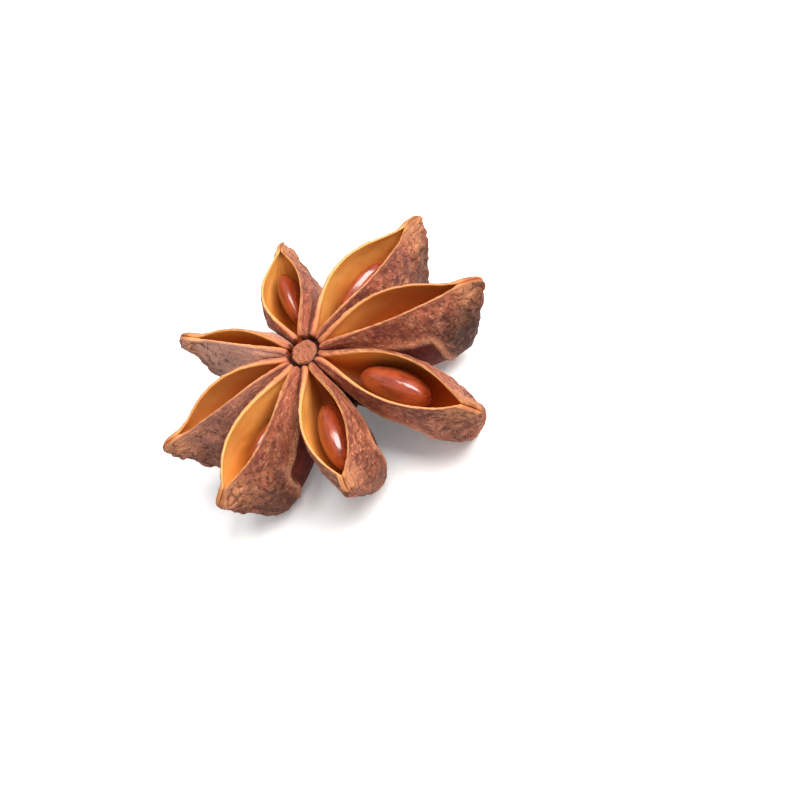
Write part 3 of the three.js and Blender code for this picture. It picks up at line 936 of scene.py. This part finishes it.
class PodStageLook(bpy.types.PropertyGroup):
    """Floor, lights and camera."""

    floor_colour: colour_choice("Floor", "Plain pale floor", 250, 250, 248)
    floor_size: bpy.props.FloatProperty(
        name="Floor size", description="Side of the square floor", default=3.0, unit="LENGTH")
    floor_glow: bpy.props.FloatProperty(
        name="Floor glow", description="Light that the translucent floor lets through",
        default=0.12, min=0.0, max=1.0, subtype="FACTOR")
    key_power: bpy.props.FloatProperty(
        name="Key light", description="Power of the large soft light",
        default=1.3, unit="POWER")
    window_power: bpy.props.FloatProperty(
        name="Window light", description="Power of the small light opposite",
        default=0.16, unit="POWER")
    sky_strength: bpy.props.FloatProperty(
        name="Sky", description="Strength of the even light from all round",
        default=0.62, min=0.0, max=4.0, subtype="FACTOR")
    tilt: bpy.props.FloatProperty(
        name="Tilt", description="Angle of the view from straight down",
        default=math.radians(37), unit="ROTATION")
    roll: bpy.props.FloatProperty(
        name="Roll", description="Turn of the camera about its own line of sight",
        default=math.radians(40.3), unit="ROTATION")
    distance: bpy.props.FloatProperty(
        name="Distance", description="Camera to the lips' level", default=0.3, unit="LENGTH")


# ---- operators --------------------------------------------------------------------------------------

def keep(piece, slot, *nodes):
    """Makes a finished piece ride with the pod and stand for the given CAD nodes."""
    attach(piece, "root")
    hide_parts(*nodes)


class POD_OT_add_husk(bpy.types.Operator):
    """Add the eight carpels and the column"""

    bl_idname = "pod.add_husk"
    bl_label = "Add husk"

    def execute(self, context):
        look = context.scene.pod_husk
        skin = dried_skin_group()
        material = husk_material(look, skin)
        for c in CARPELS:
            keep(add_carpel(c, look, material), "husk", "husk")
        keep(add_hub(column_material(look, skin)), "husk", "husk")
        return {"FINISHED"}


class POD_OT_add_seeds(bpy.types.Operator):
    """Add the seeds in their cavities"""

    bl_idname = "pod.add_seeds"
    bl_label = "Add seeds"

    def execute(self, context):
        material = seed_material(context.scene.pod_seeds)
        for carpel_id, halves in SEED_HALVES.items():
            keep(add_seed(carpel_id, halves, material), "seed", f"seed_{carpel_id}")
        return {"FINISHED"}


def view_axes(look):
    """The picture's right, up and towards-the-camera directions."""
    right = Vector((1, 0, 0))
    up = Vector((0, math.cos(look.tilt), math.sin(look.tilt)))
    back = right.cross(up)
    spin = Matrix.Rotation(look.roll, 3, back)
    return spin.inverted() @ right, spin.inverted() @ up, back


def aim(obj, right, up, back, place):
    """Places a camera or light with its own axes along the given directions."""
    turn = Matrix((right, up, back)).transposed().to_4x4()
    obj.matrix_world = Matrix.Translation(place) @ turn


def add_floor(look):
    half = look.floor_size / 2
    mesh = bpy.data.meshes.new("floor")
    corners = [(-half, -half, 0), (half, -half, 0), (half, half, 0), (-half, half, 0)]
    mesh.from_pydata(corners, [], [(0, 1, 2, 3)])
    mesh.materials.append(floor_material(look))
    floor = bpy.data.objects.new("floor", mesh)
    bpy.context.scene.collection.objects.link(floor)


def add_camera(look, target, right, up, back):
    """A long lens, moved off the target so that the pod lies to the left of the middle."""
    camera = bpy.data.cameras.new("camera")
    camera.lens = LENS_LENGTH
    camera.sensor_width = 36
    camera.clip_start = 0.01
    camera.clip_end = 10
    holder = bpy.data.objects.new("camera", camera)
    place = target + right * SHIFT_RIGHT - up * SHIFT_DOWN + back * look.distance
    aim(holder, right, up, back, place)
    bpy.context.scene.collection.objects.link(holder)
    return holder


def sky(look):
    world = bpy.data.worlds.new("sky")
    world.use_nodes = True
    background = world.node_tree.nodes["Background"]
    background.inputs["Color"].default_value = (1.0, 1.0, 1.0, 1.0)
    background.inputs["Strength"].default_value = look.sky_strength
    return world


def add_light(name, direction, size, power, target):
    """A square soft light that faces the target from the given direction."""
    light = bpy.data.lights.new(name, "AREA")
    light.energy = power
    light.size = size
    obj = bpy.data.objects.new(name, light)
    back = direction.normalized()
    side = back.orthogonal().normalized()
    aim(obj, side, back.cross(side), back, target + back * LIGHT_DISTANCE)
    bpy.context.scene.collection.objects.link(obj)


class POD_OT_add_stage(bpy.types.Operator):
    """Add the floor, the lights and the camera"""

    bl_idname = "pod.add_stage"
    bl_label = "Add stage"

    def execute(self, context):
        scene = context.scene
        look = scene.pod_stage
        add_floor(look)
        right, up, back = view_axes(look)
        target = Vector((0, 0, LIP_LEVEL * MM))
        scene.camera = add_camera(look, target, right, up, back)
        key = right * 0.25 + up * 0.62 + back * 0.85
        add_light("key", key, KEY_SIZE, look.key_power, target)
        window = up * 0.6 - right * 0.35 + back * 0.7
        add_light("window", window, WINDOW_SIZE, look.window_power, target)
        scene.world = sky(look)
        scene.view_settings.view_transform = "Standard"
        return {"FINISHED"}


class POD_PT_panel(bpy.types.Panel):
    """Lists the pod's pieces and what can be changed."""

    bl_idname = "POD_PT_panel"
    bl_label = "Star anise pod"
    bl_space_type = "VIEW_3D"
    bl_region_type = "UI"
    bl_category = "Pod"

    def draw(self, context):
        scene = context.scene
        groups = (
            (scene.pod_husk, "pod.add_husk"),
            (scene.pod_seeds, "pod.add_seeds"),
            (scene.pod_stage, "pod.add_stage"),
        )
        for look, operator in groups:
            box = self.layout.box()
            for key in type(look).__annotations__:
                box.prop(look, key)
            box.operator(operator)


CLASSES = (
    PodHuskLook, PodSeedLook, PodStageLook,
    POD_OT_add_husk, POD_OT_add_seeds, POD_OT_add_stage, POD_PT_panel,
)


def register():
    for cls in CLASSES:
        bpy.utils.register_class(cls)
    bpy.types.Scene.pod_husk = bpy.props.PointerProperty(type=PodHuskLook)
    bpy.types.Scene.pod_seeds = bpy.props.PointerProperty(type=PodSeedLook)
    bpy.types.Scene.pod_stage = bpy.props.PointerProperty(type=PodStageLook)


def unregister():
    del bpy.types.Scene.pod_husk, bpy.types.Scene.pod_seeds, bpy.types.Scene.pod_stage
    for cls in reversed(CLASSES):
        bpy.utils.unregister_class(cls)


def main():
    register()
    bpy.ops.pod.add_husk()
    bpy.ops.pod.add_seeds()
    bpy.ops.pod.add_stage()


if __name__ == "__main__":
    main()
